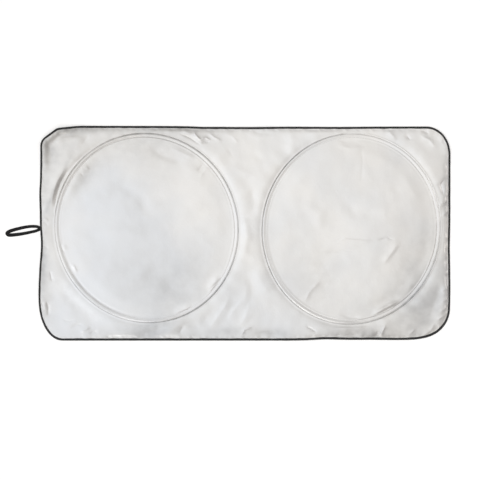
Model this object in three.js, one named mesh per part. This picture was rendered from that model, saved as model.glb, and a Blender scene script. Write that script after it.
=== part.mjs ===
// Windscreen sunshade, opened out and laid flat with its silver face up.
// One sheet of silver-coated cloth is held open by two sprung steel hoops. Each hoop lies in a casing
// strip sewn to the back of the cloth, its ends are joined in a small sleeve, black tape binds the raw
// edge, and an elastic loop at one end keeps the folded shade closed.
// Millimetres. +X runs along the shade, +Y towards the top of the windscreen, +Z out of the silver face.
// The origin is the middle of the outline, on the surface that the shade lies on.
import * as THREE from "three";

// Cloth
const shadeLength = 1500;
const shadeHeight = 780;
const clothThickness = 0.4;
const seatGap = 0.3; // between pieces that touch

// Edge binding: tape folded round the raw edge
const bindingWidth = 8;
const tapeThickness = 0.5;
const tapeNose = 0.8; // rounding of the outer fold
const hemShoulder = 2.5; // level cloth just inside the binding

// Hoops: round spring wire, sized by the margins that they leave to the outline
const wireDiameter = 2;
const hoops = {
  left: { end: 64, middle: 27, top: 29, bottom: 71, lean: 4.5, jointAt: 100 },
  right: { end: 41, middle: 69, top: 31, bottom: 65, lean: -3.5, jointAt: 267 },
};
const wireEndGap = 1.5; // between the two ends of a hoop's wire, inside its sleeve

// Sleeve that joins the ends of a hoop's wire
const sleeveLength = 24;
const sleeveWall = 0.45;
const sleeveFit = 0.15; // radial

// Casing strips, sewn down along two seams
const outerSeam = 4.5; // from the wire's centre
const innerSeam = 8.5;
const seamAllowance = 3; // strip beyond each seam
const casingThickness = 0.4;
const puffReach = 4.5; // from a seam to the crest of the cloth beside it
const puffHeight = 1.7; // of that crest above the seam
const puffFade = 5; // from the crest to open cloth on the outside
const innerFade = 8; // the same on the inside

// Elastic loop
const loopReach = 125;
const loopAt = 17; // height of its root on the left end
const loopDroop = 8; // degrees below level
const strapWidth = 9;
const strapThickness = 1.2;
const upperBow = 12.5; // of each leg's centre line from the loop's axis
const lowerBow = 9;
const rootSpread = 2.5; // of the legs where they cross over each other, just outside the binding
const strapTuck = 7; // length under the binding

// Knees of the sewn edge, anticlockwise from the bottom right. Each is rounded off along the lengths
// given before and after it. The top left corner is clipped.
const endX = shadeLength / 2;
const sideY = shadeHeight / 2;
const knees = [
  { x: endX, y: -sideY, before: 136, after: 118 },
  { x: endX, y: sideY, before: 104, after: 86 },
  { x: -endX + 146, y: sideY + 3, before: 20, after: 20 },
  { x: -endX + 68, y: sideY - 6, before: 7, after: 7 },
  { x: -endX + 6, y: sideY - 52, before: 22, after: 22 },
  { x: -endX, y: -sideY, before: 142, after: 86 },
];

// Places in the lists below are shares of half the length and half the height, and reaches are shares
// of the height.

// Places where the sewn edge is drawn in. A depth under 0 lets it out.
const pulls = {
  top: [
    { at: 0, reach: 0.2, depth: 3.5 },
    { at: -0.2, reach: 0.06, depth: 1.5 },
    { at: 0.44, reach: 0.19, depth: 2 },
  ],
  right: [
    { at: -0.14, reach: 0.09, depth: 2 },
    { at: -0.74, reach: 0.06, depth: 1.5 },
  ],
  bottom: [
    { at: 0.39, reach: 0.08, depth: 3.5 },
    { at: 0.6, reach: 0.2, depth: 3 },
    { at: 0.86, reach: 0.07, depth: 3.5 },
  ],
  left: [
    { at: 0.75, reach: 0.06, depth: 1 },
    { at: 0.36, reach: 0.06, depth: -2.5 },
    { at: -0.1, reach: 0.08, depth: 5 },
    { at: -0.55, reach: 0.08, depth: -2 },
  ],
};

// Places where the edge stands off the surface
const edgeLifts = [
  { x: -0.95, y: 0.93, reach: 0.12, height: 13 },
  { x: -0.99, y: -0.49, reach: 0.09, height: 4 },
  { x: 0.95, y: -0.85, reach: 0.115, height: 6 },
  { x: 0.98, y: 0.85, reach: 0.08, height: 3 },
  { x: 0.08, y: 0.98, reach: 0.115, height: 2.5 },
  { x: 0.33, y: -0.99, reach: 0.14, height: 2 },
];

// Slack cloth standing off the surface: long and wide are half sizes, turn is in degrees
const swells = [
  { x: -0.81, y: 0.75, long: 0.155, wide: 0.07, turn: 40, height: 9 },
  { x: -0.44, y: -0.33, long: 0.27, wide: 0.14, turn: -20, height: 6 },
  { x: -0.63, y: 0.38, long: 0.205, wide: 0.115, turn: 30, height: 5 },
  { x: -0.24, y: 0.44, long: 0.155, wide: 0.075, turn: -50, height: 5 },
  { x: 0.03, y: 0.65, long: 0.155, wide: 0.09, turn: 20, height: 7 },
  { x: -0.01, y: -0.69, long: 0.14, wide: 0.075, turn: 65, height: 6 },
  { x: 0.52, y: 0.31, long: 0.115, wide: 0.24, turn: 10, height: 6 },
  { x: 0.63, y: -0.31, long: 0.205, wide: 0.1, turn: -35, height: 5 },
  { x: 0.75, y: 0, long: 0.075, wide: 0.19, turn: 0, height: 4 },
  { x: 0.87, y: -0.79, long: 0.09, wide: 0.06, turn: 55, height: 8 },
  { x: -0.85, y: -0.74, long: 0.1, wide: 0.07, turn: 60, height: 6 },
];
const middleRest = 34; // radius round the origin in which the cloth lies on the surface

// Sampling
const sideStep = 52;
const turnStep = 13; // degrees of turn at a knee
const middleSteps = 13;
const wireSides = 6;
const sleeveSides = 12;
const strapSteps = 44;

const silver = new THREE.MeshStandardMaterial({ color: 0xd3d3d2, roughness: 0.45, metalness: 0.35 });
const greyLining = new THREE.MeshStandardMaterial({ color: 0xb9babb, roughness: 0.8, metalness: 0 });
const blackTape = new THREE.MeshStandardMaterial({ color: 0x232325, roughness: 0.85, metalness: 0 });
const elastic = new THREE.MeshStandardMaterial({ color: 0x0d0d0e, roughness: 0.75, metalness: 0 });
const springSteel = new THREE.MeshStandardMaterial({ color: 0x8e9194, roughness: 0.35, metalness: 0.9 });
const tinnedSteel = new THREE.MeshStandardMaterial({ color: 0xb5b7ba, roughness: 0.3, metalness: 0.9 });

const wireRadius = wireDiameter / 2;
const sleeveRadius = wireRadius + sleeveFit + sleeveWall;
const slotHalf = clothThickness / 2 + seatGap; // the binding's slot, each side of the cloth's middle
const bindingHalf = slotHalf + tapeThickness;
const clothInset = tapeNose + 2 * seatGap; // the cloth's raw edge inside the binding's fold
const seamRise = casingThickness + seatGap; // underside of the cloth where it is sewn to the casing

const bell = (distance, reach) => Math.exp(-((distance / reach) ** 2));
const smooth = (t) => {
  const u = Math.min(1, Math.max(0, t));
  return u * u * (3 - 2 * u);
};
const plan = (x, y) => new THREE.Vector2(x, y);
const lift = (p, z) => new THREE.Vector3(p.x, p.y, z);
const toRadians = THREE.MathUtils.degToRad;

// Outline

// Points where a knee of the edge is rounded off: an arc of an ellipse between its two cuts
function kneePoints(i) {
  const knee = knees[i];
  const at = plan(knee.x, knee.y);
  const towards = (other, length) => at.clone().add(plan(other.x - knee.x, other.y - knee.y).setLength(length));
  const start = towards(knees[(i + knees.length - 1) % knees.length], knee.before);
  const end = towards(knees[(i + 1) % knees.length], knee.after);
  const turn = Math.PI - start.clone().sub(at).angleTo(end.clone().sub(at));
  const weight = Math.cos(turn / 2);
  const steps = Math.max(1, Math.round(THREE.MathUtils.radToDeg(turn) / turnStep));
  const points = [];
  for (let k = 0; k <= steps; k += 1) {
    const t = k / steps;
    const shares = [(1 - t) ** 2, 2 * weight * t * (1 - t), t ** 2];
    const sum = shares[0] + shares[1] + shares[2];
    const p = start.clone().multiplyScalar(shares[0]).addScaledVector(at, shares[1]).addScaledVector(end, shares[2]);
    points.push(p.divideScalar(sum));
  }
  return points;
}

// Points strictly between two ends of a straight side
function sidePoints(from, to) {
  const steps = Math.max(1, Math.round(from.distanceTo(to) / sideStep));
  const points = [];
  for (let i = 1; i < steps; i += 1) points.push(from.clone().lerp(to, i / steps));
  return points;
}

// How far a side is drawn in at a place along it
function pullOf(side, place) {
  const half = side === "top" || side === "bottom" ? endX : sideY;
  return pulls[side].reduce((sum, p) => sum + p.depth * bell(place - p.at * half, p.reach * shadeHeight), 0);
}

// Draws a point of the plain outline in by the pulls of the sides that it lies near
function drawnIn(p) {
  const nearX = smooth((Math.abs(p.x) / endX - 0.85) / 0.15);
  const nearY = smooth((Math.abs(p.y) / sideY - 0.75) / 0.25);
  const sideOfX = p.x > 0 ? "right" : "left";
  const sideOfY = p.y > 0 ? "top" : "bottom";
  const inX = pullOf(sideOfX, p.y) * nearX * (1 - 0.5 * nearY);
  const inY = pullOf(sideOfY, p.x) * nearY * (1 - 0.5 * nearX);
  return plan(p.x - Math.sign(p.x) * inX, p.y - Math.sign(p.y) * inY);
}

// The outline, anticlockwise from the middle of the bottom side. It has points of its own at the
// middle of the top and beside the loop.
function outlinePoints() {
  const stops = [
    [plan(0, -sideY)],
    kneePoints(0),
    kneePoints(1),
    [plan(0, sideY)],
    kneePoints(2),
    kneePoints(3),
    kneePoints(4),
    [2.2, 0, -2.2].map((widths) => plan(-endX, loopAt + widths * strapWidth)),
    kneePoints(5),
  ];
  const points = stops.flatMap((run, i) => {
    const next = stops[(i + 1) % stops.length];
    return [...run, ...sidePoints(run[run.length - 1], next[0])];
  });
  return points.map(drawnIn);
}

const outline = outlinePoints();
const inward = outline.map((p, i) => {
  const before = outline[(i + outline.length - 1) % outline.length];
  const after = outline[(i + 1) % outline.length];
  const along = after.clone().sub(before).normalize();
  return plan(-along.y, along.x);
});
inward.forEach((n, i) => {
  if (outline[i].x === 0) n.set(0, Math.sign(n.y));
});
const insetPoint = (i, depth) => outline[i].clone().addScaledVector(inward[i], depth);

// Heights

// Underside of the binding above the surface, at a point of the outline
function edgeHeight(p) {
  const lifted = edgeLifts.reduce((sum, e) => {
    const away = Math.hypot(p.x - e.x * endX, p.y - e.y * sideY);
    return sum + e.height * bell(away, e.reach * shadeHeight);
  }, 0);
  const overLoop = bell(Math.hypot(p.x + endX, p.y - loopAt), 4 * strapWidth);
  return lifted + (2 * strapThickness + 4 * seatGap) * overLoop;
}
const edgeMiddle = outline.map((p) => edgeHeight(p) + bindingHalf);

// Underside of the open cloth above the surface
function clothHeight(x, y) {
  const slack = swells.reduce((sum, s) => {
    const place = plan(x - s.x * endX, y - s.y * sideY).rotateAround(plan(0, 0), -toRadians(s.turn));
    return sum + s.height * bell(place.x, s.long * shadeHeight) * bell(place.y, s.wide * shadeHeight);
  }, 0);
  const lifted = edgeHeight(plan(x, y));
  return (slack + lifted) * smooth(Math.hypot(x, y) / middleRest - 1);
}

// Hoops

function hoopShape(side) {
  const hoop = hoops[side];
  const signX = side === "left" ? -1 : 1;
  const halfWidth = (endX - hoop.end - hoop.middle) / 2;
  const halfHeight = (shadeHeight - hoop.top - hoop.bottom) / 2;
  const centre = plan(signX * (hoop.middle + halfWidth), (hoop.bottom - hoop.top) / 2);
  return { ...hoop, signX, halfWidth, halfHeight, centre };
}

// Point of the wire's centre line, or a point that far outside it
function hoopPoint(shape, angle, offset = 0) {
  const c = Math.cos(angle);
  const s = Math.sin(angle);
  const p = plan(
    shape.centre.x + shape.halfWidth * c - shape.lean * s,
    shape.centre.y + shape.halfHeight * s - shape.lean * c,
  );
  const along = plan(-shape.halfWidth * s - shape.lean * c, shape.halfHeight * c + shape.lean * s).normalize();
  return p.add(plan(along.y, -along.x).multiplyScalar(offset));
}

// The cloth inside the hem is two halves that meet on the middle line. Each half is a fan of rays
// from its hoop's centre. The rim lists where the rays end, anticlockwise.
const hemDepth = bindingWidth + hemShoulder;
const topIndex = outline.findIndex((p) => p.x === 0 && p.y > 0);

function middleLine() {
  const low = insetPoint(0, hemDepth).y;
  const high = insetPoint(topIndex, hemDepth).y;
  const line = [];
  for (let i = 1; i < middleSteps; i += 1) line.push(plan(0, low + ((high - low) * i) / middleSteps));
  return line;
}

function rimOf(side) {
  const onOutline = (i) => ({ point: insetPoint(i, hemDepth), edge: i });
  const onMiddle = (p) => ({ point: p, edge: null });
  const line = middleLine();
  if (side === "right") {
    const edge = outline.slice(0, topIndex + 1).map((_, i) => onOutline(i));
    return [...edge, ...line.reverse().map(onMiddle)];
  }
  const edge = outline.slice(topIndex).map((_, i) => onOutline(i + topIndex));
  return [...edge, onOutline(0), ...line.map(onMiddle)];
}

// Angle on the hoop of the ray that ends at a rim point
function rayAngle(shape, point) {
  const x = point.x - shape.centre.x;
  const y = point.y - shape.centre.y;
  return Math.atan2(y / shape.halfHeight, x / shape.halfWidth);
}

// The ray interval that the wire's joint lies in
function jointInterval(shape, angles) {
  const target = toRadians(shape.jointAt);
  const turn = (a) => ((a % (2 * Math.PI)) + 2 * Math.PI) % (2 * Math.PI);
  return angles.findIndex((a, i) => {
    const span = turn(angles[(i + 1) % angles.length] - a);
    return turn(target - a) < span;
  });
}

function hoopFrame(side) {
  const shape = hoopShape(side);
  const rim = rimOf(side);
  const angles = rim.map((r) => rayAngle(shape, r.point));
  const joint = jointInterval(shape, angles);
  const wireHeight = angles.map((_, i) => {
    const atJoint = i === joint || i === (joint + 1) % angles.length;
    return casingThickness + seatGap + (atJoint ? sleeveRadius : wireRadius);
  });
  return { side, shape, rim, angles, joint, wireHeight };
}

const frames = { left: hoopFrame("left"), right: hoopFrame("right") };

// Mesh building

// A closed mesh from rings of points. A looped loft joins its last ring to its first, and an open one
// gets flat ends.
function loft(rings, looped) {
  const sides = rings[0].length;
  const position = rings.flat().flatMap((p) => [p.x, p.y, p.z]);
  const index = [];
  const last = looped ? rings.length : rings.length - 1;
  for (let i = 0; i < last; i += 1) {
    const next = (i + 1) % rings.length;
    for (let k = 0; k < sides; k += 1) {
      const a = i * sides + k;
      const b = i * sides + ((k + 1) % sides);
      const c = next * sides + ((k + 1) % sides);
      const d = next * sides + k;
      index.push(a, b, c, a, c, d);
    }
  }
  if (!looped) {
    const end = (rings.length - 1) * sides;
    for (let k = 1; k < sides - 1; k += 1) {
      index.push(0, k + 1, k);
      index.push(end, end + k, end + k + 1);
    }
  }
  return facingOut(position, index);
}

// Geometry with its faces turned outwards
function facingOut(position, index) {
  const corner = (i) => new THREE.Vector3(...position.slice(3 * i, 3 * i + 3));
  let volume = 0;
  for (let i = 0; i < index.length; i += 3) {
    volume += corner(index[i]).dot(corner(index[i + 1]).cross(corner(index[i + 2])));
  }
  const faces = volume < 0 ? index.slice().reverse() : index;
  const geometry = new THREE.BufferGeometry();
  geometry.setAttribute("position", new THREE.Float32BufferAttribute(position, 3));
  geometry.setIndex(faces);
  geometry.computeVertexNormals();
  return geometry;
}

function piece(name, geometry, material) {
  const mesh = new THREE.Mesh(geometry, material);
  mesh.name = name;
  return mesh;
}

// Cloth panel

// Points of one ray, from near the hoop's centre out to the rim, each with the underside's height
function rayStations(frame, i) {
  const { shape, rim, angles, wireHeight } = frame;
  const at = (offset) => hoopPoint(shape, angles[i], offset);
  const open = (p) => lift(p, clothHeight(p.x, p.y));
  const innerOpen = at(-(innerSeam + puffReach + innerFade));
  const outerOpen = at(outerSeam + puffReach + puffFade);
  const reachRadius = frame.joint === i || (frame.joint + 1) % angles.length === i ? sleeveRadius : wireRadius;
  const ridge = wireHeight[i] + reachRadius + seatGap;
  const ridgeHalf = 1.2 * wireRadius;
  const end = rim[i].point;
  const edge = rim[i].edge;
  const endHeight = edge === null ? clothHeight(end.x, end.y) : edgeMiddle[edge] - clothThickness / 2;
  const discFractions = [0.34, 0.63, 0.86];
  const outerFractions = [0.36, 0.7];
  return [
    ...discFractions.map((f) => open(shape.centre.clone().lerp(innerOpen, f))),
    open(innerOpen),
    lift(at(-(innerSeam + puffReach)), seamRise + puffHeight),
    lift(at(-innerSeam), seamRise),
    lift(at(-ridgeHalf), ridge),
    lift(at(ridgeHalf), ridge),
    lift(at(outerSeam), seamRise),
    lift(at(outerSeam + puffReach), seamRise + puffHeight),
    open(outerOpen),
    ...outerFractions.map((f) => open(outerOpen.clone().lerp(end, f))),
    lift(end, endHeight),
  ];
}

// Collects points, giving the same number to points that coincide
function pointStore() {
  const points = [];
  const numbers = new Map();
  return {
    points,
    add(p) {
      const key = [p.x, p.y].map((v) => v.toFixed(3)).join(",");
      if (!numbers.has(key)) {
        numbers.set(key, points.length);
        points.push(p);
      }
      return numbers.get(key);
    },
  };
}

function clothGeometry() {
  const store = pointStore();
  const faces = [];
  const quad = (a, b, c, d) => faces.push([a, b, c], [a, c, d]);
  Object.values(frames).forEach((frame) => {
    const { centre } = frame.shape;
    const hub = store.add(lift(centre, clothHeight(centre.x, centre.y)));
    const rays = frame.rim.map((_, i) => rayStations(frame, i).map((p) => store.add(p)));
    rays.forEach((ray, i) => {
      const next = rays[(i + 1) % rays.length];
      faces.push([hub, ray[0], next[0]]);
      for (let k = 0; k < ray.length - 1; k += 1) quad(ray[k], ray[k + 1], next[k + 1], next[k]);
    });
  });
  const hem = outline.map((_, i) => store.add(lift(insetPoint(i, hemDepth), edgeMiddle[i] - clothThickness / 2)));
  const raw = outline.map((_, i) => store.add(lift(insetPoint(i, clothInset), edgeMiddle[i] - clothThickness / 2)));
  outline.forEach((_, i) => {
    const j = (i + 1) % outline.length;
    quad(hem[i], raw[i], raw[j], hem[j]);
  });
  const count = store.points.length;
  const position = [
    ...store.points.flatMap((p) => [p.x, p.y, p.z]),
    ...store.points.flatMap((p) => [p.x, p.y, p.z + clothThickness]),
  ];
  const index = [];
  faces.forEach(([a, b, c]) => index.push(a, c, b, a + count, b + count, c + count));
  raw.forEach((a, i) => {
    const b = raw[(i + 1) % raw.length];
    index.push(a, b, b + count, a, b + count, a + count);
  });
  return facingOut(position, index);
}

// Edge binding: one folded tape, run right round the outline

function bindingGeometry() {
  const foldDepth = clothInset - seatGap;
  const noseHalf = 0.4 * bindingHalf;
  const section = [
    [bindingWidth, slotHalf],
    [bindingWidth, bindingHalf],
    [tapeNose, bindingHalf],
    [0, noseHalf],
    [0, -noseHalf],
    [tapeNose, -bindingHalf],
    [bindingWidth, -bindingHalf],
    [bindingWidth, -slotHalf],
    [foldDepth, -slotHalf],
    [foldDepth, slotHalf],
  ];
  const rings = outline.map((_, i) => section.map(([depth, up]) => lift(insetPoint(i, depth), edgeMiddle[i] + up)));
  return loft(rings, true);
}

// Casing strip of one hoop

function casingGeometry(frame) {
  const outside = outerSeam + seamAllowance;
  const inside = -(innerSeam + seamAllowance);
  const section = [
    [inside, 0],
    [outside, 0],
    [outside, casingThickness],
    [inside, casingThickness],
  ];
  const rings = frame.angles.map((angle) =>
    section.map(([offset, height]) => lift(hoopPoint(frame.shape, angle, offset), height)),
  );
  return loft(rings, true);
}

// Wire of one hoop, cut at its joint

function wirePoints(frame) {
  const count = frame.angles.length;
  const node = (i) => lift(hoopPoint(frame.shape, frame.angles[i % count]), frame.wireHeight[i % count]);
  const start = frame.joint + 1;
  const points = [];
  for (let i = 0; i < count; i += 1) points.push(node(start + i));
  const before = points[count - 1];
  const after = points[0];
  const middle = before.clone().lerp(after, 0.5);
  const along = after.clone().sub(before).normalize();
  const ends = [wireEndGap / 2, -wireEndGap / 2].map((d) => middle.clone().addScaledVector(along, d));
  return { points: [ends[0], ...points, ends[1]], middle, along };
}

function ringAt(p, along, radius, sides) {
  const up = new THREE.Vector3(0, 0, 1);
  const across = new THREE.Vector3().crossVectors(up, along).normalize();
  const ring = [];
  for (let k = 0; k < sides; k += 1) {
    const angle = (2 * Math.PI * (k + 0.5)) / sides;
    ring.push(
      p.clone()
        .addScaledVector(across, radius * Math.cos(angle))
        .addScaledVector(up, radius * Math.sin(angle)),
    );
  }
  return ring;
}

function wireGeometry(frame) {
  const { points } = wirePoints(frame);
  const rings = points.map((p, i) => {
    const before = points[Math.max(0, i - 1)];
    const after = points[Math.min(points.length - 1, i + 1)];
    return ringAt(p, after.clone().sub(before).normalize(), wireRadius, wireSides);
  });
  return loft(rings, false);
}

function sleeve(name, frame) {
  const bore = wireRadius + sleeveFit;
  const half = sleeveLength / 2;
  const profile = [
    [bore, -half],
    [sleeveRadius, -half],
    [sleeveRadius, half],
    [bore, half],
    [bore, -half],
  ].map(([r, h]) => plan(r, h));
  const mesh = piece(name, new THREE.LatheGeometry(profile, sleeveSides), tinnedSteel);
  const { middle, along } = wirePoints(frame);
  mesh.position.copy(middle);
  mesh.quaternion.setFromUnitVectors(new THREE.Vector3(0, 1, 0), along);
  return mesh;
}

// Elastic loop: a flat strap whose ends lie one on the other under the binding

function loopPath() {
  const root = outline.reduce(
    (best, p) => (p.x < 0 && Math.abs(p.y - loopAt) < Math.abs(best.y - loopAt) ? p : best),
    plan(-endX, Infinity),
  );
  const turn = Math.PI + toRadians(loopDroop);
  const along = plan(Math.cos(turn), Math.sin(turn));
  const up = plan(along.y, -along.x);
  const low = strapThickness / 2;
  const high = low + strapThickness + seatGap;
  const place = (s, t, height = low) =>
    lift(plan(root.x, loopAt).addScaledVector(along, s).addScaledVector(up, t), height);
  const tip = loopReach - strapWidth / 2;
  const tipSpread = 0.78 * strapWidth;
  const controls = [
    place(-strapTuck, -rootSpread / 2, high),
    place(strapWidth / 2, rootSpread, high),
    place(2 * strapWidth, 0.8 * upperBow, 0.5 * (low + high)),
    place(0.3 * loopReach, upperBow),
    place(0.55 * loopReach, upperBow),
    place(0.82 * loopReach, tipSpread + 0.4 * (upperBow - tipSpread)),
    place(tip - tipSpread / 2, tipSpread * 0.9),
    place(tip, 0),
    place(tip - tipSpread / 2, -tipSpread * 0.9),
    place(0.82 * loopReach, -lowerBow),
    place(0.5 * loopReach, -lowerBow),
    place(0.25 * loopReach, -0.75 * lowerBow),
    place(strapWidth, -1.2 * rootSpread),
    place(-strapTuck, rootSpread / 2),
  ];
  return new THREE.CatmullRomCurve3(controls, false, "centripetal");
}

function loopGeometry() {
  const path = loopPath();
  const half = strapWidth / 2;
  const thick = strapThickness / 2;
  const shoulder = half - thick;
  const section = [
    [-half, 0],
    [-shoulder, -thick],
    [shoulder, -thick],
    [half, 0],
    [shoulder, thick],
    [-shoulder, thick],
  ];
  const rings = [];
  for (let i = 0; i <= strapSteps; i += 1) {
    const p = path.getPointAt(i / strapSteps);
    const along = path.getTangentAt(i / strapSteps).setZ(0).normalize();
    const across = new THREE.Vector3(-along.y, along.x, 0);
    const height = Math.max(p.z, thick);
    rings.push(section.map(([side, up]) => lift(p.clone().addScaledVector(across, side), height + up)));
  }
  return loft(rings, false);
}

const shade = new THREE.Group();
shade.add(
  piece("cloth_panel", clothGeometry(), silver),
  piece("edge_binding", bindingGeometry(), blackTape),
  piece("left_casing", casingGeometry(frames.left), greyLining),
  piece("right_casing", casingGeometry(frames.right), greyLining),
  piece("left_hoop", wireGeometry(frames.left), springSteel),
  piece("right_hoop", wireGeometry(frames.right), springSteel),
  sleeve("left_hoop_sleeve", frames.left),
  sleeve("right_hoop_sleeve", frames.right),
  piece("elastic_loop", loopGeometry(), elastic),
);

export default shade;
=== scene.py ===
import math

import bpy
import numpy as np
from mathutils.geometry import delaunay_2d_cdt
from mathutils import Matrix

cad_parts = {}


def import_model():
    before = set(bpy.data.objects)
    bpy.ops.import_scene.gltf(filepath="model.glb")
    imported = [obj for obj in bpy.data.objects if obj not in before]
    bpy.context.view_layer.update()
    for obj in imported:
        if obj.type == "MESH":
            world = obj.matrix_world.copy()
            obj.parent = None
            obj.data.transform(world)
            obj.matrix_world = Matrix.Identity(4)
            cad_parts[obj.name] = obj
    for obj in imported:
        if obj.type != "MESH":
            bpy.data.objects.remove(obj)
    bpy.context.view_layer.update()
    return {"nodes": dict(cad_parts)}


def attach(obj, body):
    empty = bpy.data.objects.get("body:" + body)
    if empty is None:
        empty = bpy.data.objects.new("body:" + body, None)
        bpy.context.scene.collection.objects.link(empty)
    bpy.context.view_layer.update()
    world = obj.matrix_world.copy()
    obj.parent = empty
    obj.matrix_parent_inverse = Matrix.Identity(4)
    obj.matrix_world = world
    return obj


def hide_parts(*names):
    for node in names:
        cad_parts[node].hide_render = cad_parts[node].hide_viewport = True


MM = 0.001

# Cloth
SHADE_LENGTH = 1500
SHADE_HEIGHT = 780
CLOTH = 0.4
SEAT_GAP = 0.3

# Edge binding
BINDING_WIDTH = 8
TAPE = 0.5
TAPE_NOSE = 0.8
BINDING_HALF = CLOTH / 2 + SEAT_GAP + TAPE
CLOTH_INSET = TAPE_NOSE + 2 * SEAT_GAP

# Knees of the sewn edge, anticlockwise: place, and the lengths before and after it that are rounded off
END_X = SHADE_LENGTH / 2
SIDE_Y = SHADE_HEIGHT / 2
KNEES = [
    (END_X, -SIDE_Y, 136, 118),
    (END_X, SIDE_Y, 104, 86),
    (-END_X + 146, SIDE_Y + 3, 20, 20),
    (-END_X + 68, SIDE_Y - 6, 7, 7),
    (-END_X + 6, SIDE_Y - 52, 22, 22),
    (-END_X, -SIDE_Y, 142, 86),
]

# Places below are shares of half the length and half the height, and reaches are shares of the height.

# Places where the sewn edge is drawn in: side, place, reach, depth. A depth under 0 lets it out.
PULLS = [
    ("top", 0, 0.2, 3.5),
    ("top", -0.2, 0.06, 1.5),
    ("top", 0.44, 0.19, 2),
    ("right", -0.14, 0.09, 2),
    ("right", -0.74, 0.06, 1.5),
    ("bottom", 0.39, 0.08, 3.5),
    ("bottom", 0.6, 0.2, 3),
    ("bottom", 0.86, 0.07, 3.5),
    ("left", 0.75, 0.06, 1),
    ("left", 0.36, 0.06, -2.5),
    ("left", -0.1, 0.08, 5),
    ("left", -0.55, 0.08, -2),
]

# Places where the edge stands off the floor: place, reach, height
EDGE_LIFTS = [
    (-0.95, 0.93, 0.12, 13),
    (-0.99, -0.49, 0.09, 4),
    (0.98, 0.85, 0.08, 3),
    (0.08, 0.98, 0.115, 2.5),
    (0.33, -0.99, 0.14, 2),
]

# Hoops: the margins that each wire leaves to the outline, and the angle of the sleeve on its ends
HOOPS = {
    "left": {"end": 64, "middle": 27, "top": 29, "bottom": 71, "lean": 4.5, "x": -1},
    "right": {"end": 41, "middle": 69, "top": 31, "bottom": 65, "lean": -3.5, "x": 1},
}
SLEEVE_AT = {"left": 96.8, "right": -90.8}
SLEEVE_HALF = 12
OUTER_SEAM = 4.5
INNER_SEAM = 8.5
SEAM_ALLOWANCE = 3
CASING = 0.4
SEAM_RISE = CASING + SEAT_GAP

# Elastic loop: a flat strap whose ends lie one on the other under the binding, wider at its slack tip
LOOP_REACH = 125
LOOP_AT = 17
LOOP_DROOP = 8
STRAP_WIDTH = 10.4
TIP_WIDTH = 13
STRAP_THICKNESS = 1.2
UPPER_BOW = 15
LOWER_BOW = 8.5
ROOT_SPREAD = 3
STRAP_TUCK = 7

# Strands of the loop from root to tip and back: shares of its reach, and of the bow of each
UPPER_STRAND = [(0.03, 0.4), (0.12, 0.74), (0.27, 0.93), (0.42, 0.94), (0.61, 0.83), (0.79, 0.64)]
UPPER_STRAND += [(0.91, 0.43), (0.975, 0.13)]
LOWER_STRAND = [(0.965, 0.4), (0.91, 0.78), (0.8, 0.92), (0.62, 1), (0.44, 0.93), (0.29, 0.77), (0.14, 0.58)]

# Section of the elastic: across and up, with the shallow furrows between its rubber threads
STRAP_SECTION = [(1, 0), (0.95, 0.6), (0.86, 1), (0.4, 0.92), (0, 1), (-0.4, 0.92), (-0.86, 1), (-0.95, 0.6)]
STRAP_SECTION += [(-1, 0), (-0.95, -0.6), (-0.86, -1), (0, -1), (0.86, -1), (0.95, -0.6)]

# Stitches, where their row lies across the tape, and half the thickness of the threads
STITCH_PITCH = 3.6
STITCH_LENGTH = 0.72 * STITCH_PITCH
TAPE_SEAM = 0.79
BINDING_THREAD = 0.24
SEAM_THREAD = 0.22

# Camera: straight above, so that the whole shade is in view as it lies
VIEW_WIDTH = 1750
VIEW_CENTRE = (-16.7, -23.3)
CAMERA_HEIGHT = 4000
SENSOR = 36

# Light: the studio's strength, its bright side, and its colours by how far a direction faces that side
SKY = 1.07
BRIGHT_SIDE = (-0.5, 0.0, 0.866)
SKY_STEPS = [
    (0.0, (0.26, 0.24, 0.225)),
    (0.57, (0.45, 0.43, 0.41)),
    (0.81, (1.02, 1.005, 0.975)),
    (1.0, (1.07, 1.1, 1.15)),
]

# Softboxes: place and size in metres, power in watts, colour
SOFTBOXES = {
    "left_softbox": ((-5.0, -2.0, 3.2), (2.5, 2.5), 18, (0.93, 0.97, 1.0)),
    "front_softbox": ((-1.5, -5.0, 3.6), (3.0, 2.0), 50, (1.0, 0.99, 0.97)),
    "right_softbox": ((5.0, 1.0, 3.6), (2.5, 2.5), 40, (1.0, 0.97, 0.94)),
}

# How far the floor's look is lifted to white
FLOOR_LIFT = 0.3

rng = np.random.default_rng(7)


# Small helpers


def bell(distance, reach):
    return np.exp(-((distance / reach) ** 2))


def smooth(t):
    u = np.clip(t, 0, 1)
    return u * u * (3 - 2 * u)


def unit(v):
    """Rows scaled to a length of one."""
    return v / np.linalg.norm(v, axis=1)[:, None]


def left_of(v):
    """Flat directions turned a quarter to the left."""
    return np.column_stack([-v[:, 1], v[:, 0]])


def full_turn(count):
    """Evenly spaced angles all the way round."""
    return np.linspace(0, 2 * math.pi, count, endpoint=False)


def degrees_from(angle, middle):
    """Degrees from a place on a hoop, half a turn at most."""
    return (np.degrees(angle) - middle + 180) % 360 - 180


def lengths_along(p):
    """Distance of each point of a polyline from its start."""
    return np.concatenate([[0], np.cumsum(np.linalg.norm(np.diff(p, axis=0), axis=1))])


def spaced(p, count, endpoint=True):
    """That many evenly spaced points on a polyline."""
    length = lengths_along(p)
    at = np.linspace(0, length[-1], count, endpoint=endpoint)
    return np.column_stack([np.interp(at, length, p[:, k]) for k in range(p.shape[1])])


def waves(position, lengths, seed):
    """Even random ripple of about unit height along a line."""
    local = np.random.default_rng(seed)
    total = np.zeros(len(position))
    for length in lengths:
        total += np.sin(2 * math.pi * (position / length + local.random()))
    return total / math.sqrt(len(lengths))


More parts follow.
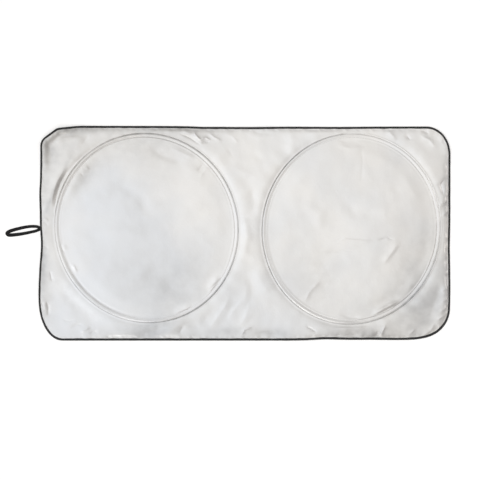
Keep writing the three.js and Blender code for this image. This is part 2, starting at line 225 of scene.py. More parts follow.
def mesh_object(name, points, faces):
    """Mesh from points in millimetres, smooth shaded."""
    mesh = bpy.data.meshes.new(name)
    mesh.from_pydata((np.asarray(points) * MM).tolist(), [], faces)
    mesh.validate()
    mesh.update()
    mesh.polygons.foreach_set("use_smooth", [True] * len(mesh.polygons))
    made = bpy.data.objects.new(name, mesh)
    bpy.context.scene.collection.objects.link(made)
    return made


# Outline


def knee_curve(number, steps=24):
    """Points where a knee of the edge is rounded off: an arc of an ellipse between its two cuts."""
    x, y, before, after = KNEES[number]
    at = np.array([x, y])
    towards = [KNEES[number - 1][:2] - at, KNEES[(number + 1) % len(KNEES)][:2] - at]
    ways = [v / np.linalg.norm(v) for v in towards]
    start, end = at + ways[0] * before, at + ways[1] * after
    weight = math.cos((math.pi - math.acos(np.dot(*ways))) / 2)
    t = np.linspace(0, 1, steps + 1)[:, None]
    shares = [(1 - t) ** 2, 2 * weight * t * (1 - t), t**2]
    return (shares[0] * start + shares[1] * at + shares[2] * end) / sum(shares)


def pull_of(side, place):
    half = END_X if side in ("top", "bottom") else SIDE_Y
    total = np.zeros(len(place))
    for name, middle, reach, depth in PULLS:
        if name == side:
            total += depth * bell(place - middle * half, reach * SHADE_HEIGHT)
    return total


def drawn_in(p):
    """Draws points of the plain outline in by the pulls of the sides that they lie near."""
    x, y = p[:, 0], p[:, 1]
    near_x = smooth((np.abs(x) / END_X - 0.85) / 0.15)
    near_y = smooth((np.abs(y) / SIDE_Y - 0.75) / 0.25)
    in_x = np.where(x > 0, pull_of("right", y), pull_of("left", y)) * near_x * (1 - 0.5 * near_y)
    in_y = np.where(y > 0, pull_of("top", x), pull_of("bottom", x)) * near_y * (1 - 0.5 * near_x)
    return np.column_stack([x - np.sign(x) * in_x, y - np.sign(y) * in_y])


def resampled(p, step):
    """Evenly spaced points on a closed polyline."""
    closed = np.vstack([p, p[:1]])
    return spaced(closed, int(round(lengths_along(closed)[-1] / step)), endpoint=False)


def outline_curve(step):
    """The outline, anticlockwise from the middle of the bottom side."""
    plain = np.vstack([[[0, -SIDE_Y]]] + [knee_curve(number) for number in range(len(KNEES))])
    return resampled(drawn_in(resampled(plain, 3)), step)


def inward_of(p):
    return left_of(unit(np.roll(p, -1, axis=0) - np.roll(p, 1, axis=0)))


EDGE_STEP = 5
BATCH = 4000
edge = outline_curve(EDGE_STEP)
edge_inward = inward_of(edge)
edge_along = np.arange(len(edge)) * float(EDGE_STEP)


def depth_in(p):
    """Distance of points inside the outline, and the number of the nearest outline point."""
    depth = np.empty(len(p))
    nearest = np.empty(len(p), dtype=int)
    for start in range(0, len(p), BATCH):
        part = slice(start, start + BATCH)
        gap = p[part, None, :] - edge[None, :, :]
        square = (gap**2).sum(axis=2)
        index = square.argmin(axis=1)
        nearest[part] = index
        depth[part] = (gap[np.arange(len(index)), index] * edge_inward[index]).sum(axis=1)
    return depth, nearest


# Hoops


def hoop_frame(side):
    hoop = HOOPS[side]
    half_width = (END_X - hoop["end"] - hoop["middle"]) / 2
    half_height = (SHADE_HEIGHT - hoop["top"] - hoop["bottom"]) / 2
    centre = np.array([hoop["x"] * (hoop["middle"] + half_width), (hoop["bottom"] - hoop["top"]) / 2])
    shape = np.array([[half_width, -hoop["lean"]], [-hoop["lean"], half_height]])
    return {"centre": centre, "shape": shape, "inverse": np.linalg.inv(shape)}


frames = {side: hoop_frame(side) for side in HOOPS}


def hoop_points(hoop, angle, offset):
    """Points that far outside the wire's centre line."""
    around = np.column_stack([np.cos(angle), np.sin(angle)]) @ hoop["shape"].T
    along = np.column_stack([-np.sin(angle), np.cos(angle)]) @ hoop["shape"].T
    return hoop["centre"] + around - left_of(unit(along)) * np.asarray(offset).reshape(-1, 1)


def hoop_offset(hoop, p):
    """Distance of points outside a hoop's wire, and their angle on it."""
    place = (p - hoop["centre"]) @ hoop["inverse"].T
    reach = np.maximum(np.linalg.norm(place, axis=1), 1e-6)
    slope = np.linalg.norm((place / reach[:, None]) @ hoop["inverse"], axis=1)
    return (reach - 1) / slope, np.arctan2(place[:, 1], place[:, 0])


# Heights of the cloth

# Cloth off the floor, in each hoop and outside both: place, half length, half width, turn, height
SWELLS = {
    "left": [
        (-0.66, -0.5, 0.18, 0.15, -30, 8),
        (-0.61, 0.15, 0.2, 0.25, 0, 7),
        (-0.22, 0.4, 0.15, 0.2, 20, 3),
    ],
    "right": [
        (0.62, 0.05, 0.2, 0.3, 0, 10),
        (0.3, 0.45, 0.14, 0.2, -30, 4),
        (0.3, -0.55, 0.16, 0.14, 30, -3),
    ],
    "outside": [
        (0.02, 0.65, 0.155, 0.12, 20, 5),
        (0.03, -0.69, 0.14, 0.1, 65, 4),
        (0.89, 0.72, 0.12, 0.06, -45, 3),
        (-0.88, -0.66, 0.14, 0.06, -50, 4),
        (-0.6, -0.93, 0.12, 0.05, 0, 3),
        (0.36, -0.93, 0.12, 0.05, 0, 4),
    ],
}

# Patches of painted shade, and of painted cool reflection tint, by a share that comes last. Under 0 it is
# painted highlight, or painted warm reflection tint.
PAINTED_SHADE_PATCHES = [
    (-0.47, -0.5, 0.19, 0.14, -15, 0.07),
    (-0.27, -0.28, 0.1, 0.07, 20, 0.06),
    (-0.78, 0.52, 0.1, 0.035, 50, 0.14),
    (-0.91, 0.44, 0.11, 0.011, 66, 0.3),
    (-0.87, 0.78, 0.14, 0.12, 45, 0.12),
    (0.01, 0.2, 0.24, 0.06, 90, -0.05),
    (0.81, -0.3, 0.24, 0.08, 66, 0.12),
    (0.6, -0.68, 0.14, 0.06, 22, 0.08),
    (0.86, -0.77, 0.23, 0.12, 45, 0.19),
    (-0.985, 0.72, 0.15, 0.035, 90, 0.14),
    (-0.95, 0.8, 0.07, 0.03, 100, 0.2),
    (-0.86, 0.965, 0.08, 0.028, 8, 0.3),
    (-0.83, -0.6, 0.2, 0.035, -42, -0.13),
    (-0.75, 0.985, 0.14, 0.022, 2, 0.2),
    (-0.2, 0.985, 0.4, 0.02, 0, 0.2),
    (0.985, 0.3, 0.2, 0.022, 90, 0.2),
    (-0.985, -0.25, 0.12, 0.022, 90, 0.3),
    (-0.46, -0.9, 0.12, 0.042, 14, 0.2),
    (0.56, -0.93, 0.13, 0.03, -4, 0.26),
    (-0.5, 0.88, 0.24, 0.1, 0, 0.16),
    (0.0, -1.0, 0.85, 0.05, 0, 0.14),
    (-0.98, -0.62, 0.2, 0.055, 90, 0.17),
    (-0.975, 0.35, 0.18, 0.05, 90, 0.13),
    (0.985, 0.47, 0.14, 0.04, 90, 0.12),
    (0.965, -0.3, 0.16, 0.05, 90, 0.12),
    (-0.3, -0.6, 0.16, 0.11, 60, 0.09),
    (0.35, -0.45, 0.16, 0.12, 90, 0.08),
    (0.71, 0.35, 0.2, 0.07, 90, -0.06),
    (-0.29, -0.69, 0.045, 0.022, 15, -0.13),
    (-0.16, -0.45, 0.055, 0.02, 50, -0.09),
    (0.13, -0.925, 0.075, 0.018, 0, 0.15),
    (0.28, 0.9, 0.1, 0.05, 20, -0.07),
    (-0.66, -0.95, 0.08, 0.04, 0, 0.09),
    (-0.4, 0.58, 0.1, 0.08, 0, 0.05),
    (-0.08, -0.905, 0.07, 0.018, 0, 0.1),
]
PAINTED_TINT_PATCHES = [
    (-0.6, 0.08, 0.24, 0.28, 0, 0.4),
    (-0.5, -0.5, 0.26, 0.2, 0, 0.3),
    (-0.85, -0.75, 0.14, 0.12, 0, 0.25),
    (-0.87, 0.8, 0.16, 0.14, 45, -0.3),
    (-0.33, 0.65, 0.22, 0.12, 0, -0.16),
    (-0.35, -0.95, 0.7, 0.08, 0, 0.16),
    (-0.8, -0.62, 0.2, 0.06, -42, 0.2),
    (0.08, -0.55, 0.25, 0.22, 0, 0.18),
    (0.85, -0.5, 0.2, 0.12, 90, 0.1),
]

# Folds in millimetres: line, width, height, and how much steeper the flank on the line's left is
FOLDS = [
    # Left end and its top corner
    ([(-635, 245), (-670, 185), (-685, 135), (-690, 85)], 4, -6),
    ([(-645, 255), (-685, 185), (-700, 130), (-705, 85)], 8, 5),
    ([(-695, 80), (-685, 55), (-685, 25)], 3, -3),
    ([(-565, 370), (-575, 350), (-590, 325)], 6, -1.2),
    ([(-600, 365), (-605, 335), (-620, 295)], 10, 1.8),
    ([(-652, 205), (-635, 237), (-590, 282), (-540, 318), (-489, 343)], 4, -2.2),
    ([(-710, 325), (-700, 280), (-712, 235)], 9, -1.4),
    ([(-735, 300), (-735, 260), (-735, 220)], 6, 1.5),
    ([(-700, 340), (-675, 360), (-625, 365)], 5, -1.8),
    ([(-695, 325), (-660, 345), (-600, 355)], 7, 3),
    ([(-585, 250), (-565, 230)], 4, 1.2),
    ([(-605, 235), (-585, 205)], 4, -1.5),
    ([(-735, 60), (-715, 45)], 3, 2),
    ([(-735, 45), (-715, 30)], 3, -2),
    ([(-730, -45), (-715, -55)], 3, -2.5),
    ([(-710, -130), (-705, -155), (-700, -180)], 4, -2.5),
    ([(-720, -245), (-715, -270), (-715, -305)], 4, -4),
    ([(-730, -240), (-725, -280)], 3, 2.5),
    # Bottom left corner
    ([(-680, -185), (-620, -250), (-550, -300), (-485, -340)], 14, -2),
    ([(-660, -35), (-655, -65)], 4, 2.5),
    ([(-635, -110), (-620, -120), (-610, -145)], 4, 3),
    ([(-600, -195), (-580, -220), (-550, -240)], 4, 3),
    ([(-675, -35), (-665, -60), (-660, -75)], 3, -2.5),
    ([(-665, -310), (-645, -320), (-615, -310)], 4, -1.6),
    ([(-635, -345), (-605, -330), (-585, -335)], 4, -1.6),
    ([(-600, -360), (-560, -340)], 5, 2.5),
    ([(-570, -365), (-530, -355)], 5, -2.5),
    ([(-405, -365), (-345, -360), (-280, -340)], 9, -3.5),
    ([(-295, -375), (-255, -340), (-210, -310)], 10, 3),
    ([(-240, -370), (-220, -330)], 8, -2),
    # Left disc
    ([(-650, 90), (-630, 160), (-590, 225), (-540, 270)], 14, 4),
    ([(-350, 325), (-320, 300), (-285, 280), (-205, 255)], 10, -3),
    ([(-275, 315), (-230, 295), (-175, 270)], 8, 2.5),
    ([(-135, 260), (-155, 245), (-175, 225)], 5, -1.8),
    ([(-125, 250), (-150, 225), (-165, 200)], 6, 1),
    ([(-85, -155), (-105, -180), (-130, -215)], 10, 4, 2.5),
    ([(-130, -208), (-106, -184), (-84, -160)], 3, -3),
    ([(-185, -268), (-225, -278), (-260, -292)], 10, 2.5, 2),
    ([(-315, -170), (-240, -200), (-170, -200)], 18, -3.5),
    ([(-565, 5), (-455, 15), (-345, -10)], 16, 2),
    ([(-490, 190), (-380, 135), (-345, 45)], 14, -2),
    ([(-600, 100), (-525, 155), (-460, 165)], 14, 1.5),
    ([(-455, -190), (-380, -155), (-345, -90)], 14, 2),
    # Along the top
    ([(-250, 370), (-200, 350), (-150, 315)], 4, -3),
    ([(-240, 380), (-190, 360), (-135, 325)], 6, 2.5),
    ([(-190, 375), (-175, 355), (-155, 335)], 3, 3),
    ([(-165, 340), (-145, 350), (-120, 340)], 3, 3),
    ([(-160, 330), (-125, 335)], 3, -2.5),
    ([(-135, 370), (-110, 350), (-80, 335)], 5, 3),
    ([(-80, 365), (-45, 355), (-20, 325)], 6, 1.5),
    ([(-65, 315), (-55, 300), (-40, 275)], 8, -1),
    ([(15, 375), (65, 365), (115, 370)], 4, -2),
    ([(10, 355), (65, 350), (135, 360)], 8, 1.5),
    ([(150, 380), (175, 335), (160, 285)], 12, 1.5),
    ([(-50, 250), (0, 220), (55, 205)], 10, 1),
    ([(25, 300), (65, 260), (70, 205)], 12, -1.2),
    ([(470, 355), (510, 335), (540, 325)], 4, -3.5),
    ([(520, 375), (555, 340)], 6, 2.5),
    ([(585, 365), (605, 340)], 5, -2.5),
    ([(640, 380), (675, 365)], 4, -3.5),
    ([(635, 360), (675, 340), (700, 305)], 7, 3),
    # Right disc
    ([(325, 350), (370, 335), (425, 340)], 7, -1.2),
    ([(325, 325), (385, 310), (440, 315)], 8, 1.2),
    ([(425, 325), (430, 260), (425, 180)], 6, -0.6),
    ([(270, -70), (340, -65), (425, -60)], 5, -1.6),
    ([(310, -40), (365, -20), (430, -25), (485, -25)], 4, 1.3, 2),
    ([(480, -25), (520, -15), (550, -25)], 3, -1.8),
    ([(565, -25), (535, -70), (500, -115)], 9, 2.5, 2),
    ([(235, -275), (255, -230), (305, -175)], 6, -1.8),
    ([(215, -260), (235, -215), (285, -160)], 8, 2.5),
    ([(345, -295), (390, -305), (430, -305)], 5, -3),
    ([(460, -300), (510, -270), (570, -240)], 6, 7),
    ([(460, -305), (515, -280), (575, -250)], 3, -4),
    ([(580, -240), (645, -185), (685, -105)], 11, -3.5),
    ([(540, -230), (595, -195), (635, -130)], 12, 2.5),
    ([(200, 120), (270, 70), (285, 5)], 14, 2),
    ([(350, 120), (405, 75), (510, 70)], 14, -2),
    ([(200, -105), (285, -130), (370, -115)], 14, 2),
    ([(580, 230), (610, 135), (615, 25)], 20, 1.6),
    # Right end
    ([(740, 210), (715, 180), (725, 135)], 4, -4),
    ([(740, 185), (730, 155), (740, 125)], 3, 1.5),
    ([(740, 120), (715, 110), (705, 85)], 3, 3.5),
    ([(740, 105), (715, 90)], 3, -3),
    ([(740, 80), (715, 65)], 3, 2.5),
    ([(745, -150), (728, -235), (698, -345)], 13, 4),
    ([(715, -170), (695, -245), (665, -335)], 10, -1.5),
    ([(740, -195), (715, -210)], 3, 2.5),
    ([(740, -235), (715, -250)], 3, 2.5),
    ([(740, -265), (710, -285)], 3, 2.5),
    ([(730, -295), (700, -315)], 3, 2.5),
    ([(645, -375), (675, -355), (695, -325)], 4, 3),
    ([(595, -370), (625, -345)], 4, 2.5),
    # Along the bottom
    ([(495, -380), (500, -360), (515, -330)], 4, 4),
    ([(480, -380), (485, -355)], 4, -2.5),
    ([(300, -365), (365, -375), (430, -365)], 8, -3.5),
    ([(310, -345), (385, -345), (470, -340)], 6, 3),
    ([(220, -335), (240, -345), (265, -360)], 4, -3),
    ([(30, -370), (75, -360), (145, -365)], 6, -2),
    ([(-140, -360), (-110, -320), (-75, -270), (-50, -225)], 12, 2, 2.5),
    ([(-65, -320), (-40, -280), (0, -235)], 12, 1.7, 2.5),
    ([(-5, -265), (5, -220), (15, -175)], 9, 1.2),
    ([(-165, -350), (-140, -305), (-110, -265)], 10, -1.0),
    ([(-30, -360), (0, -310), (25, -240)], 12, 1.6, 2.5),
    ([(-15, -375), (0, -350), (30, -340)], 4, 3),
    # Between the hoops
    ([(0, 75), (10, -10), (-5, -105)], 10, 2.5),
    ([(20, 170), (35, 120), (30, 60)], 10, -2),
    ([(40, -105), (65, -185), (115, -245)], 14, 2.5),
    ([(15, -155), (25, -215), (20, -290)], 10, -0.8),
]

# Form of the cloth round each hoop: a height all round, and more of it at places: angle, reach, height
HOOP_FORM = {
    # The line is painted shade in the outer seam's gather, standing in for the shade of tight puckers, and
    # the last two are how far the seams are lifted.
    "left": {
        "tunnel": (0.1, [(125, 35, 1.6), (228, 38, 2.1)]),
        "outer": (0.6, [(15, 50, 4.4), (75, 30, 2.5), (150, 22, 5.0), (228, 28, 0.8), (315, 40, 5.0)]),
        "inner": (0.1, [(20, 40, 1.2), (85, 30, 2.0), (145, 28, 4.0)]),
        "line": (0.03, [(40, 40, 0.36), (100, 25, 0.3), (150, 20, 0.12), (315, 35, 0.4)]),
        "outer_seam": (0.0, [(235, 30, 0.5)]),
        "inner_seam": (0.0, [(230, 36, 1.5)]),
    },
    "right": {
        "tunnel": (0.0, [(240, 25, 1.0)]),
        "outer": (0.6, [(135, 42, 4.4), (198, 38, 3.6), (10, 50, 3.0), (315, 35, 6.5)]),
        "inner": (0.2, [(10, 50, 1.2), (305, 40, 3.6), (140, 20, 0.8)]),
        "line": (0.04, [(140, 42, 0.4), (208, 25, 0.14), (300, 30, 0.16)]),
        "outer_seam": (0.0, [(50, 36, 1.0)]),
        "inner_seam": (0.0, [(210, 30, 0.5)]),
    },
}

# Cloth over a wire and over a sleeve, and the groove that the outer seam pulls into it
WIRE_BULGE = 1.9
SLEEVE_BULGE = 0.9
GROOVE = 0.4

# How far out the cloth climbs beside a seam, and how far it then sinks, outside a hoop and inside
CLIMB = 2.8
SINK_OUTSIDE = 75
SINK_INSIDE = 22

# Least height of the cloth between its seams, and of anything above the floor
LOOSE_HEIGHT = 2.4
LEAST_HEIGHT = 0.15

# Radius that ripples round a hoop are reckoned on
RIPPLE_RADIUS = 340

# Slack of the cloth between its seams, as a share of its size, and the grid that it is simulated on
SLACK = 0.004
SLACK_STEP = 10
SLACK_FRAMES = 16


def patches(p, rows):
    """Sum of soft oval patches at points."""
    total = np.zeros(len(p))
    for x, y, length, width, turn, amount in rows:
        c, s = math.cos(math.radians(turn)), math.sin(math.radians(turn))
        from_x, from_y = p[:, 0] - x * END_X, p[:, 1] - y * SIDE_Y
        along = bell(from_x * c + from_y * s, length * SHADE_HEIGHT)
        total += amount * along * bell(from_y * c - from_x * s, width * SHADE_HEIGHT)
    return total


def edge_height(p):
    """How far the cloth's edge stands off the floor, with room for the loop's two ends below it."""
    total = np.zeros(len(p))
    for x, y, reach, height in EDGE_LIFTS:
        total += height * bell(np.hypot(p[:, 0] - x * END_X, p[:, 1] - y * SIDE_Y), reach * SHADE_HEIGHT)
    over_loop = bell(np.hypot(p[:, 0] + END_X, p[:, 1] - LOOP_AT), 4 * STRAP_WIDTH)
    return total + (2 * STRAP_THICKNESS + 4 * SEAT_GAP) * over_loop


def edge_middle():
    """Middle height of the binding along the outline."""
    ripple = 0.45 * (1 + waves(edge_along, (34, 57, 93), seed=21))
    return edge_height(edge) + BINDING_HALF + np.maximum(ripple, 0)


def around_hoop(side, what, angle):
    """Height of one feature of a hoop's form at angles round it, a little uneven."""
    height, places = HOOP_FORM[side][what]
    total = np.full(len(angle), float(height))
    for middle, reach, more in places:
        total += more * bell(degrees_from(angle, middle), reach)
    uneven = waves(angle * RIPPLE_RADIUS, (47, 83, 171), seed=len(side) + len(what))
    return total * (1 + 0.12 * uneven)


def channel_height(side, offset, angle):
    """Underside of the cloth over a hoop's casing."""
    over_wire = WIRE_BULGE * np.exp(-((np.abs(offset) / np.where(offset > 0, 3.2, 5.0)) ** 1.7))
    tunnel = around_hoop(side, "tunnel", angle) * np.clip(1 - ((offset + 3) / 5.5) ** 2, 0, None)
    groove = -GROOVE * bell(offset - OUTER_SEAM, 0.8)
    lifted = around_hoop(side, "outer_seam", angle) * bell(offset - OUTER_SEAM - 0.5, 3)
    lifted += around_hoop(side, "inner_seam", angle) * bell(offset + INNER_SEAM, 3)
    return SEAM_RISE + 0.45 + over_wire + over_sleeve(side, offset, angle) + tunnel + groove + lifted


def over_sleeve(side, offset, angle):
    """More height over the sleeve, and over the wire where it rises into it."""
    turn = degrees_from(angle, SLEEVE_AT[side])
    away = np.abs(np.radians(turn)) * frames[side]["shape"][1, 1] - SLEEVE_HALF
    lump = SLEEVE_BULGE * (1 - smooth((away - 2) / 9)) + 0.4 * (1 - smooth((away - 8) / 44))
    return lump * bell(offset + 0.3, 3.2)


def beside_height(side, offset, angle):
    """More height of the cloth beside a hoop's seams: it stands up steeply from them, then sinks slowly."""
    out, within = offset - OUTER_SEAM, -INNER_SEAM - offset
    outer = smooth(out / CLIMB) * bell(np.maximum(out - CLIMB, 0), SINK_OUTSIDE)
    inner = smooth(within / CLIMB) * bell(np.maximum(within - CLIMB, 0), SINK_INSIDE)
    return around_hoop(side, "outer", angle) * outer + around_hoop(side, "inner", angle) * inner


def fold_height(p, line, width, height, steep=1.0):
    """Ridge or hollow along a line that fades out at its ends."""
    line = np.array(line, float)
    steps = np.diff(line, axis=0)
    lengths = np.linalg.norm(steps, axis=1)
    reach = 5 * width
    low, high = line.min(axis=0) - reach, line.max(axis=0) + reach
    near = np.all((p > low) & (p < high), axis=1)
    q = p[near]
    side, away, along = np.zeros(len(q)), np.full(len(q), np.inf), np.zeros(len(q))
    for k, (start, step, length) in enumerate(zip(line, steps, lengths)):
        share = np.clip((q - start) @ step / length**2, 0, 1)
        gap = q - start - share[:, None] * step
        distance = np.linalg.norm(gap, axis=1)
        closer = distance < away
        away[closer] = distance[closer]
        side[closer] = (step[0] * gap[:, 1] - step[1] * gap[:, 0])[closer]
        along[closer] = (lengths[:k].sum() + share * length)[closer]
    flank = np.where(side > 0, width / steep, width)
    sharp = np.exp(0.3 - np.sqrt((away / flank) ** 2 + 0.09))
    profile = sharp if width < 9 else bell(away, 1.5 * flank)
    share = along / lengths.sum()
    total = np.zeros(len(p))
    total[near] = height * profile * smooth(share / 0.35) * smooth((1 - share) / 0.35)
    return total


def slack_cloth():
    """Heights on a grid of a sheet cut a little too large and held at its seams, from a simulation."""
    columns = np.arange(-END_X, END_X + 1, SLACK_STEP)
    rows = np.arange(-SIDE_Y, SIDE_Y + 1, SLACK_STEP)
    wide = len(columns)
    flat = np.array([(x, y) for y in rows for x in columns])
    depth, _ = depth_in(flat)
    pinned = depth < 12
    for hoop in frames.values():
        offset, _ = hoop_offset(hoop, flat)
        pinned |= (offset < OUTER_SEAM + 4) & (offset > -INNER_SEAM - 4)
    start = 0.5 * rng.standard_normal(len(flat)) * ~pinned
    faces = []
    for j in range(len(rows) - 1):
        for i in range(wide - 1):
            a, b, c, d = j * wide + i, j * wide + i + 1, (j + 1) * wide + i + 1, (j + 1) * wide + i
            faces += [(a, b, c), (a, c, d)] if (i + j) % 2 else [(a, b, d), (b, c, d)]
    sheet = mesh_object("slack_sheet", np.column_stack([flat, start]), faces)
    held = sheet.vertex_groups.new(name="held")
    held.add(np.flatnonzero(pinned).tolist(), 1, "REPLACE")
    cloth_settings(sheet.modifiers.new("cloth", "CLOTH"))
    for number in range(1, SLACK_FRAMES + 1):
        bpy.context.scene.frame_set(number)
    made = sheet.evaluated_get(bpy.context.evaluated_depsgraph_get()).data
    places = np.empty(3 * len(flat))
    made.vertices.foreach_get("co", places)
    bpy.data.objects.remove(sheet)
    bpy.context.scene.frame_set(1)
    heights = places.reshape(-1, 3)[:, 2] / MM
    return softened(np.where(pinned, 0, heights).reshape(len(rows), wide))


def softened(heights):
    """Each height averaged with its neighbours' in the grid."""
    for axis in (0, 1):
        heights = 0.5 * heights + 0.25 * (np.roll(heights, 1, axis) + np.roll(heights, -1, axis))
    return heights


def cloth_settings(modifier):
    """Thin coated cloth: it hardly stretches, and it bends easily."""
    thin = modifier.settings
    thin.vertex_group_mass = "held"
    thin.quality = 6
    thin.mass = 0.00002
    thin.tension_stiffness = 30
    thin.compression_stiffness = 30
    thin.shear_stiffness = 10
    thin.bending_stiffness = 0.002
    thin.tension_damping = 5
    thin.compression_damping = 5
    thin.shear_damping = 5
    thin.bending_damping = 0.5
    thin.shrink_min = -SLACK
    thin.shrink_max = -SLACK
    thin.effector_weights.gravity = 0.1
    modifier.collision_settings.use_collision = False
    modifier.point_cache.frame_end = SLACK_FRAMES


slack = slack_cloth()


def slack_height(p):
    """The simulated heights at points, between the points of their grid."""
    x = np.clip((p[:, 0] + END_X) / SLACK_STEP, 0, slack.shape[1] - 1.001)
    y = np.clip((p[:, 1] + SIDE_Y) / SLACK_STEP, 0, slack.shape[0] - 1.001)
    i, j = x.astype(int), y.astype(int)
    u, v = x - i, y - j
    low = slack[j, i] * (1 - u) + slack[j, i + 1] * u
    high = slack[j + 1, i] * (1 - u) + slack[j + 1, i + 1] * u
    return low * (1 - v) + high * v


def along_edge(p, nearest):
    """How far along the outline points are."""
    direction = np.column_stack([edge_inward[nearest, 1], -edge_inward[nearest, 0]])
    return edge_along[nearest] + ((p - edge[nearest]) * direction).sum(axis=1)


def on_edge(values, along):
    """Values of the outline's points, between them."""
    return np.interp(along, edge_along, values, period=len(edge) * EDGE_STEP)


def by_binding(p, depth, nearest):
    """Underside of the cloth where it comes out of the binding, with small gathers."""
    along = along_edge(p, nearest)
    gather = 1.1 * waves(along, (19, 31, 47, 73), seed=5) * bell(depth - 6, 13)
    return on_edge(edge_middle(), along) - CLOTH / 2 + gather * smooth((depth - 8) / 4)


def cloth_underside(p):
    """Heights of the cloth's underside: edge, slack, channels over the hoops, and folds."""
    depth, nearest = depth_in(p)
    held = np.ones(len(p))
    clear = np.full(len(p), np.inf)
    channel, share, in_disc, beside = np.zeros((4, len(p)))
    swell = patches(p, SWELLS["outside"])
    for side, hoop in frames.items():
        offset, angle = hoop_offset(hoop, p)
        outside = np.maximum(offset - OUTER_SEAM, -INNER_SEAM - offset)
        near = 1 - smooth((outside - 4) / 8)
        channel += near * channel_height(side, offset, angle)
        share += near
        beside += beside_height(side, offset, angle)
        swell = np.where(offset < 0, patches(p, SWELLS[side]), swell)
        held *= smooth((outside - 2) / np.where(offset < 0, 60, 24))
        clear = np.minimum(clear, outside)
        in_disc = np.maximum(in_disc, smooth((-offset - 20) / 40))
    slack_share = (0.5 - 0.2 * in_disc) * (0.3 + 0.7 * smooth((clear - 20) / 40))
    loose = LOOSE_HEIGHT + swell + slack_height(p) * slack_share
    border = smooth((depth - 0.8 * BINDING_WIDTH) / 21)
    sinking = 1 - 0.8 * smooth((depth - 6) / 28)
    inner = edge_height(p) * sinking + loose * (0.3 + 0.7 * held)
    height = by_binding(p, depth, nearest) * (1 - border) + inner * border
    share = np.minimum(share, 1)
    folds = sum(fold_height(p, *fold) for fold in FOLDS)
    folds *= smooth((clear - 1) / 4) * smooth((depth - BINDING_WIDTH) / 5)
    beside *= smooth((depth - BINDING_WIDTH) / 14)
    total = height * (1 - share) + channel * share + beside + folds
    above = total - LEAST_HEIGHT
    return LEAST_HEIGHT + 0.5 * (above + np.sqrt(above**2 + 0.16))


def painted_shade_on_coating(p):
    """Painted shade on the coating: in its patches, and in the gather beside the hoops' outer seams. Under 0
    it is painted highlight.
    """
    total = patches(p, PAINTED_SHADE_PATCHES)
    for side, hoop in frames.items():
        offset, angle = hoop_offset(hoop, p)
        total += around_hoop(side, "line", angle) * bell(offset - OUTER_SEAM - 0.3, 1.7)
    return total


# Cloth mesh

# Rows of points round a hoop and along the edge, the mesh between, and rows along a fold by its width
RING_OFFSETS = [-26, -21, -17.5, -14.5, -12.2, -10.9, -10, -9.2, -8.5, -7.8, -6.8, -5.4, -4]
RING_OFFSETS += [-2.8, -1.9, -1, 0, 1, 1.9, 2.7, 3.3, 3.9, 4.5, 5.2, 6, 6.9, 8.2, 10, 13, 17]
RING_COUNT = 336
EDGE_DEPTHS = [CLOTH_INSET, 4, 7.5, 9.5, 12, 15, 19, 24]
FILL_STEP = 9.6
MERGE_DISTANCE = 0.5
FOLD_STEP = 5
FOLD_ROWS = [-1.5, -0.7, -0.25, 0, 0.25, 0.7, 1.5]


def clear_of_rows(p, margin):
    """Which points lie clear of the rows of points along the edge and round the hoops."""
    depth, _ = depth_in(p)
    keep = depth > EDGE_DEPTHS[-1] + margin
    for hoop in frames.values():
        offset, _ = hoop_offset(hoop, p)
        keep &= (offset < RING_OFFSETS[0] - margin) | (offset > RING_OFFSETS[-1] + margin)
    return keep


def fill_points():
    rows = np.arange(-SIDE_Y, SIDE_Y, FILL_STEP * math.sqrt(0.75))
    columns = np.arange(-END_X, END_X, FILL_STEP)
    grid = np.array([(x + (k % 2) * FILL_STEP / 2, y) for k, y in enumerate(rows) for x in columns])
    grid += (rng.random(grid.shape) - 0.5) * 0.3 * FILL_STEP
    return grid[clear_of_rows(grid, 0.6 * FILL_STEP)]


def fold_points():
    """Close rows of points along the folds, so that their crests stay sharp."""
    found = []
    for fold in FOLDS:
        line, width = np.array(fold[0], float), fold[1]
        line = spaced(line, max(3, int(round(lengths_along(line)[-1] / FOLD_STEP)) + 1))
        across = left_of(unit(np.gradient(line, axis=0)))
        found += [line + share * width * across for share in FOLD_ROWS]
    found = np.vstack(found)
    return found[clear_of_rows(found, 2)]


def ring_points():
    """Rings of points round each hoop, on its own half of the shade and clear of the edge's rows."""
    angle = full_turn(RING_COUNT)
    found = []
    for side, hoop in frames.items():
        for offset in RING_OFFSETS:
            ring = hoop_points(hoop, angle, offset)
            depth, _ = depth_in(ring)
            found.append(ring[(depth > EDGE_DEPTHS[-1] + 2) & (ring[:, 0] * HOOPS[side]["x"] > 0)])
    return np.vstack(found)


def cloth_mesh():
    """The panel: its upper and lower faces from one flat net of triangles, joined round the edge."""
    rows = [edge + depth * edge_inward for depth in EDGE_DEPTHS]
    points = np.vstack(rows + [ring_points(), fold_points(), fill_points()])
    count = len(edge)
    border = [(i, (i + 1) % count) for i in range(count)]
    flat, _, faces, _, _, _ = delaunay_2d_cdt(points.tolist(), border, [], 1, MERGE_DISTANCE)
    flat = np.array([tuple(v) for v in flat])
    below = cloth_underside(flat)
    number = len(flat)
    top = np.column_stack([flat, below + CLOTH])
    bottom = np.column_stack([flat, below])
    quads = [tuple(f) for f in faces]
    quads += [tuple(i + number for i in reversed(f)) for f in faces]
    used = dict.fromkeys((a, b) for f in faces for a, b in zip(f, f[1:] + f[:1]))
    for a, b in used:
        if (b, a) not in used:
            quads.append((b, a, a + number, b + number))
    made = mesh_object("cloth", np.vstack([top, bottom]), quads)
    # First value: painted shade, and painted highlight where it is under 0. Second: painted cool and warm
    # reflection tint.
    store(made, "dull_and_painted_shade", np.tile(painted_shade_on_coating(flat), 2))
    store(made, "painted_reflection_tint", np.tile(patches(flat, PAINTED_TINT_PATCHES), 2))
    return made


def store(made, name, values):
    """Keeps a value for each point of a mesh, for its material."""
    made.data.attributes.new(name, "FLOAT", "POINT").data.foreach_set("value", values.astype(np.float32))


# Edge binding


